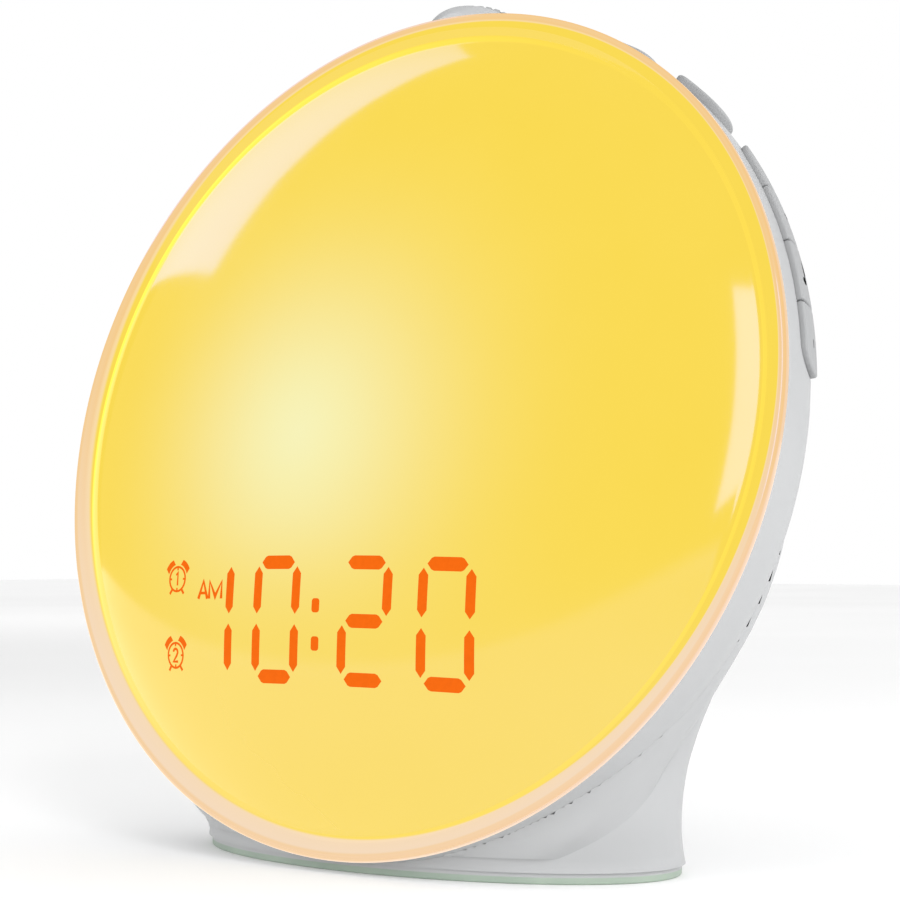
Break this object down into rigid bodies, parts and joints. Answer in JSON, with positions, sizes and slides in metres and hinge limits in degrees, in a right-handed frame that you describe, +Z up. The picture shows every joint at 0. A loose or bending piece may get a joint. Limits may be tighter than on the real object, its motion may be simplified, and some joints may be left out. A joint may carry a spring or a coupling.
{
  "type": "sunrise alarm clock",
  "caption": "Round bedside wake-up light with a domed diffuser leaning back on an oval foot, a segmented time read-out and press keys on the shoulder",
  "frame": {"origin": "centre of the oval foot on the surface the clock stands on", "axes": "+Z up, the dome faces -Y, +X to the right seen from the front"},
  "size_m": [0.178, 0.0705, 0.1806],
  "materials": {
    "diffuser": "translucent milky acrylic, lit warm from behind",
    "seal": "soft foam ring",
    "housing": "fine satin pale grey",
    "pad": "green-grey translucent pad",
    "white_inner": "white satin",
    "keys": "satin pale grey",
    "board": "solder-mask green",
    "led_chip": "phosphor",
    "screw_steel": "zinc",
    "shroud": "matt light-blocking wall",
    "readout_black": "matt black",
    "segments": "lit orange bars",
    "speaker_paper": "pressed paper",
    "magnet": "ferrite",
    "contacts": "plated spring metal"
  },
  "bodies": {
    "clock": {"battery_contacts": "contacts", "battery_holder": "white_inner", "board_components": "readout_black", "board_screws": "screw_steel", "coin_cell": "screw_steel", "dc_jack_body": "readout_black", "dc_jack_pin": "contacts", "display_board": "board", "display_module": "readout_black", "display_segments": "segments", "display_shroud": "shroud", "foot_pad": "pad", "foot_plate": "white_inner", "foot_screws": "screw_steel", "front_lens": "diffuser", "housing_screws": "screw_steel", "led_board": "board", "led_chips": "led_chip", "led_screws": "screw_steel", "light_seal": "seal", "main_board": "board", "rear_housing": "housing", "reflector_dish": "white_inner", "side_board_left": "board", "side_board_right": "board", "snooze_board": "board", "speaker_cone": "speaker_paper", "speaker_frame": "readout_black", "speaker_magnet": "magnet", "tact_switches": "readout_black", "upper_board_left": "board", "upper_board_right": "board"},
    "bar_key_left_1": {"bar_key_left_1": "keys"},
    "bar_key_left_2": {"bar_key_left_2": "keys"},
    "bar_key_right_1": {"bar_key_right_1": "keys"},
    "bar_key_right_2": {"bar_key_right_2": "keys"},
    "side_key_left_1": {"side_key_left_1": "keys"},
    "side_key_left_2": {"side_key_left_2": "keys"},
    "side_key_left_3": {"side_key_left_3": "keys"},
    "side_key_left_4": {"side_key_left_4": "keys"},
    "side_key_right_1": {"side_key_right_1": "keys"},
    "side_key_right_2": {"side_key_right_2": "keys"},
    "side_key_right_3": {"side_key_right_3": "keys"},
    "side_key_right_4": {"side_key_right_4": "keys"},
    "snooze_button": {"snooze_button": "keys"},
    "battery_door": {"battery_door": "housing"}
  },
  "joints": [
    {"name": "bar_key_left_1_press", "type": "slide", "parent": "clock", "child": "bar_key_left_1", "axis": [0.4305, -0.1938, -0.8815], "range_m": [0, 0.0008], "stiffness_N_per_m": 400},
    {"name": "bar_key_left_2_press", "type": "slide", "parent": "clock", "child": "bar_key_left_2", "axis": [0.6534, -0.1626, -0.7393], "range_m": [0, 0.0008], "stiffness_N_per_m": 400},
    {"name": "bar_key_right_1_press", "type": "slide", "parent": "clock", "child": "bar_key_right_1", "axis": [-0.4305, -0.1938, -0.8815], "range_m": [0, 0.0008], "stiffness_N_per_m": 400},
    {"name": "bar_key_right_2_press", "type": "slide", "parent": "clock", "child": "bar_key_right_2", "axis": [-0.6534, -0.1626, -0.7393], "range_m": [0, 0.0008], "stiffness_N_per_m": 400},
    {"name": "side_key_left_1_press", "type": "slide", "parent": "clock", "child": "side_key_left_1", "axis": [0.8202, -0.1229, -0.5588], "range_m": [0, 0.0008], "stiffness_N_per_m": 400},
    {"name": "side_key_left_2_press", "type": "slide", "parent": "clock", "child": "side_key_left_2", "axis": [0.8934, -0.0965, -0.4388], "range_m": [0, 0.0008], "stiffness_N_per_m": 400},
    {"name": "side_key_left_3_press", "type": "slide", "parent": "clock", "child": "side_key_left_3", "axis": [0.9486, -0.068, -0.3091], "range_m": [0, 0.0008], "stiffness_N_per_m": 400},
    {"name": "side_key_left_4_press", "type": "slide", "parent": "clock", "child": "side_key_left_4", "axis": [0.985, -0.0371, -0.1688], "range_m": [0, 0.0008], "stiffness_N_per_m": 400},
    {"name": "side_key_right_1_press", "type": "slide", "parent": "clock", "child": "side_key_right_1", "axis": [-0.8202, -0.1229, -0.5588], "range_m": [0, 0.0008], "stiffness_N_per_m": 400},
    {"name": "side_key_right_2_press", "type": "slide", "parent": "clock", "child": "side_key_right_2", "axis": [-0.8934, -0.0965, -0.4388], "range_m": [0, 0.0008], "stiffness_N_per_m": 400},
    {"name": "side_key_right_3_press", "type": "slide", "parent": "clock", "child": "side_key_right_3", "axis": [-0.9486, -0.068, -0.3091], "range_m": [0, 0.0008], "stiffness_N_per_m": 400},
    {"name": "side_key_right_4_press", "type": "slide", "parent": "clock", "child": "side_key_right_4", "axis": [-0.985, -0.0371, -0.1688], "range_m": [0, 0.0008], "stiffness_N_per_m": 400},
    {"name": "snooze_press", "type": "slide", "parent": "clock", "child": "snooze_button", "axis": [0, -0.6481, -0.7615], "range_m": [0, 0.0012], "stiffness_N_per_m": 500},
    {"name": "battery_door_pull", "type": "slide", "parent": "clock", "child": "battery_door", "axis": [0, 1, 0], "range_m": [0, 0.012]}
  ]
}
